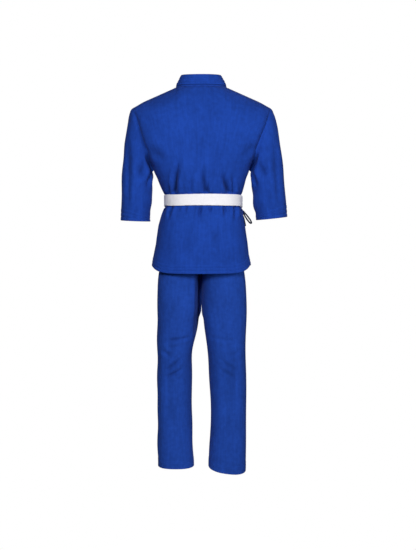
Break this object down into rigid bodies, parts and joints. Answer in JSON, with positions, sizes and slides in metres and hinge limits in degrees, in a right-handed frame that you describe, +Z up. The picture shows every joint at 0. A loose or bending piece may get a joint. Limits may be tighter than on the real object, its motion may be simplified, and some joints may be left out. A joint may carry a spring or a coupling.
{
  "type": "martial arts uniform",
  "caption": "Wrap-front martial arts uniform: jacket with stand-up collar and lapel band, knotted white belt, side tie bow and straight elastic-waist trousers, worn upright.",
  "frame": {"origin": "centre of the neck opening at the height of the shoulder seams, where the wearer's shoulders carry the jacket", "axes": "+Z up, the wearer faces -Y, +X is the wearer's left side"},
  "size_m": [0.6109, 0.3, 1.4579],
  "materials": {
    "jacket_cloth": "medium-weight matt cotton weave, royal blue",
    "trouser_cloth": "lighter matt cotton weave, royal blue",
    "belt_cotton": "stiff white cotton belt with rows of stitching",
    "tie_cord": "soft dark navy cord",
    "elastic": "flat woven elastic"
  },
  "bodies": {
    "jacket": {"back_body": "jacket_cloth", "front_body_left": "jacket_cloth", "front_body_right": "jacket_cloth", "collar_back": "jacket_cloth", "lapel_left": "jacket_cloth", "lapel_right": "jacket_cloth", "belt_inner_turn": "belt_cotton", "belt_outer_turn": "belt_cotton", "belt_knot": "belt_cotton", "tie_knot": "tie_cord"},
    "left_sleeve": {"sleeve_left": "jacket_cloth", "sleeve_hem_left": "jacket_cloth"},
    "right_sleeve": {"sleeve_right": "jacket_cloth", "sleeve_hem_right": "jacket_cloth"},
    "back_tail": {"back_tail": "jacket_cloth", "back_tail_hem": "jacket_cloth"},
    "under_tail": {"front_tail_right": "jacket_cloth", "front_tail_hem_right": "jacket_cloth", "lapel_tail_right": "jacket_cloth"},
    "over_tail": {"front_tail_left": "jacket_cloth", "front_tail_hem_left": "jacket_cloth", "lapel_tail_left": "jacket_cloth"},
    "left_belt_end": {"belt_end_left": "belt_cotton"},
    "right_belt_end": {"belt_end_right": "belt_cotton"},
    "side_bow": {"tie_loop_back": "tie_cord", "tie_loop_front": "tie_cord", "tie_end_back": "tie_cord", "tie_end_front": "tie_cord"},
    "trousers": {"trouser_seat": "trouser_cloth", "waistband": "trouser_cloth", "waist_elastic": "elastic"},
    "left_leg": {"trouser_leg_left": "trouser_cloth", "leg_hem_left": "trouser_cloth"},
    "right_leg": {"trouser_leg_right": "trouser_cloth", "leg_hem_right": "trouser_cloth"}
  },
  "joints": [
    {"name": "left_sleeve_raise", "type": "hinge", "parent": "jacket", "child": "left_sleeve", "pos_m": [0.2545, 0, -0.0675], "axis": [0, -1, 0], "range_deg": [0, 60]},
    {"name": "right_sleeve_raise", "type": "hinge", "parent": "jacket", "child": "right_sleeve", "pos_m": [-0.2545, 0, -0.0675], "axis": [0, 1, 0], "range_deg": [0, 60]},
    {"name": "back_tail_swing", "type": "hinge", "parent": "jacket", "child": "back_tail", "pos_m": [0, 0.1114, -0.4403], "axis": [1, 0, 0], "range_deg": [0, 30]},
    {"name": "under_tail_swing", "type": "hinge", "parent": "jacket", "child": "under_tail", "pos_m": [0, -0.1252, -0.4545], "axis": [-1, 0, 0], "range_deg": [0, 25]},
    {"name": "over_tail_swing", "type": "hinge", "parent": "under_tail", "child": "over_tail", "pos_m": [0, -0.1252, -0.4545], "axis": [-1, 0, 0], "range_deg": [0, 12]},
    {"name": "belt_end_left_swing", "type": "hinge", "parent": "over_tail", "child": "left_belt_end", "pos_m": [0, -0.1485, -0.458], "axis": [-1, 0, 0], "range_deg": [0, 50]},
    {"name": "belt_end_right_swing", "type": "hinge", "parent": "over_tail", "child": "right_belt_end", "pos_m": [0, -0.1485, -0.458], "axis": [-1, 0, 0], "range_deg": [0, 50]},
    {"name": "side_bow_swing", "type": "hinge", "parent": "jacket", "child": "side_bow", "pos_m": [-0.143, -0.044, -0.45], "axis": [0, 1, 0], "range_deg": [0, 14]},
    {"name": "trousers_off", "type": "slide", "parent": "jacket", "child": "trousers", "axis": [0, 0, -1], "range_m": [0, 0.32]},
    {"name": "left_leg_swing", "type": "hinge", "parent": "trousers", "child": "left_leg", "pos_m": [0.075, 0, -0.622], "axis": [-1, 0, 0], "range_deg": [-20, 20]},
    {"name": "right_leg_swing", "type": "hinge", "parent": "trousers", "child": "right_leg", "pos_m": [-0.075, 0, -0.622], "axis": [-1, 0, 0], "range_deg": [-20, 20]}
  ]
}
